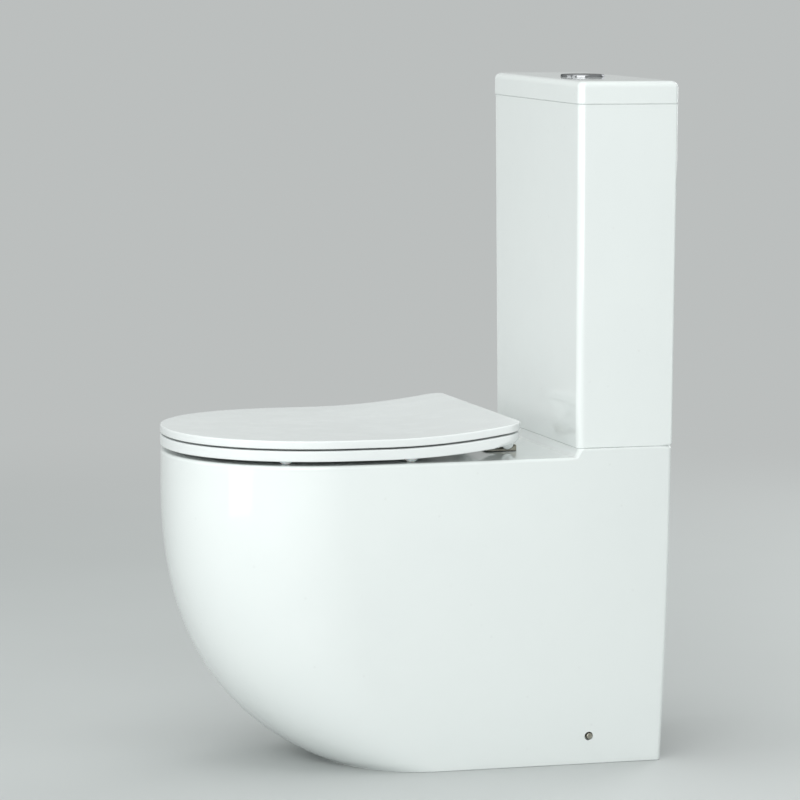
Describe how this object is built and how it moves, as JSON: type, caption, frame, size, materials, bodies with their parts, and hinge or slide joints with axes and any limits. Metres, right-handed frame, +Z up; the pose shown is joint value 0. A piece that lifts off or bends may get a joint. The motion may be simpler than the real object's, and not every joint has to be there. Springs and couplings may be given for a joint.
{
  "type": "close coupled toilet",
  "caption": "Close coupled toilet: back-to-wall pan, cistern with dual flush button and valves, and a slim hinged seat and lid.",
  "frame": {"origin": "on the floor, under the middle of the whole toilet's width and depth", "axes": "+Z up; the bowl's front faces -Y and the wall behind stands at +Y; +X is the right-hand side seen from the front of the bowl looking at the wall"},
  "size_m": [0.362, 0.605, 0.853],
  "materials": {
    "white_glaze": "glossy white glazed vitreous china",
    "seat_resin": "semi-gloss white moulded thermoset resin",
    "white_buffer": "soft white plastic buffer",
    "black_rubber": "black rubber",
    "zinc_steel": "zinc-plated steel",
    "bright_chrome": "polished chrome plate",
    "satin_nickel": "satin nickel plate with a warm tone",
    "valve_plastic": "off-white moulded plastic",
    "blue_plastic": "blue moulded plastic",
    "red_rubber": "red silicone rubber"
  },
  "bodies": {
    "pan": {"pan": "white_glaze", "bowl": "white_glaze", "trapway": "white_glaze", "flush_channel": "white_glaze", "cistern": "white_glaze", "coupling_gasket": "black_rubber", "coupling_bolts": "zinc_steel", "coupling_seals": "black_rubber", "coupling_washers": "zinc_steel", "coupling_wing_nuts": "zinc_steel", "flush_valve_base": "valve_plastic", "flush_valve_washer": "black_rubber", "flush_valve_nut": "valve_plastic", "flush_valve_tower": "valve_plastic", "lever_pins": "zinc_steel", "fill_valve_riser": "valve_plastic", "fill_valve_head": "valve_plastic", "fill_valve_cap": "blue_plastic", "fill_valve_washer": "black_rubber", "fill_valve_nut": "valve_plastic", "hinge_bases": "satin_nickel", "hinge_pins": "zinc_steel", "hinge_studs": "zinc_steel", "hinge_cushions": "black_rubber", "hinge_washers": "black_rubber", "hinge_nuts": "zinc_steel", "floor_brackets": "zinc_steel", "side_sleeves": "valve_plastic", "side_screws": "zinc_steel", "side_caps": "satin_nickel"},
    "seat": {"seat_ring": "seat_resin", "seat_bumpers": "white_buffer"},
    "lid": {"seat_lid": "seat_resin", "lid_buffers": "white_buffer"},
    "cistern_cover": {"cistern_lid": "white_glaze", "button_housing": "bright_chrome", "button_nut": "valve_plastic", "full_button_spring": "zinc_steel", "half_button_spring": "zinc_steel"},
    "full_button": {"full_flush_button": "bright_chrome", "full_push_rod": "valve_plastic"},
    "half_button": {"half_flush_button": "bright_chrome", "half_push_rod": "valve_plastic"},
    "flush_core": {"overflow_pipe": "blue_plastic", "valve_seal": "red_rubber", "valve_float": "blue_plastic"},
    "lever": {"lift_lever": "valve_plastic"},
    "fill_float": {"fill_valve_float": "blue_plastic"}
  },
  "joints": [
    {"name": "seat_hinge", "type": "hinge", "parent": "pan", "child": "seat", "pos_m": [0, 0.1115, 0.4006], "axis": [1, 0, 0], "range_deg": [-95, 0]},
    {"name": "lid_hinge", "type": "hinge", "parent": "seat", "child": "lid", "pos_m": [0, 0.1115, 0.4006], "axis": [-1, 0, 0], "range_deg": [0, 95]},
    {"name": "cistern_lid_lift", "type": "slide", "parent": "pan", "child": "cistern_cover", "axis": [0, 0, 1], "range_m": [0, 0.12]},
    {"name": "full_flush_press", "type": "slide", "parent": "cistern_cover", "child": "full_button", "axis": [0, 0, 1], "range_m": [-0.006, 0], "stiffness_N_per_m": 400, "springref_m": 0.005, "deforming": ["full_button_spring"]},
    {"name": "half_flush_press", "type": "slide", "parent": "cistern_cover", "child": "half_button", "axis": [0, 0, 1], "range_m": [-0.006, 0], "stiffness_N_per_m": 400, "springref_m": 0.005, "deforming": ["half_button_spring"]},
    {"name": "valve_lift", "type": "slide", "parent": "pan", "child": "flush_core", "axis": [0, 0, 1], "range_m": [0, 0.012]},
    {"name": "lever_tilt", "type": "hinge", "parent": "pan", "child": "lever", "pos_m": [0, 0.2325, 0.652], "axis": [1, 0, 0], "range_deg": [0, 28]},
    {"name": "fill_float_rise", "type": "slide", "parent": "pan", "child": "fill_float", "axis": [0, 0, 1], "range_m": [0, 0.04]}
  ],
  "couplings": [
    {"joint": "valve_lift", "follows": "full_flush_press", "ratio": -2},
    {"joint": "lever_tilt", "follows": "full_flush_press", "rad_per_m": -80}
  ]
}
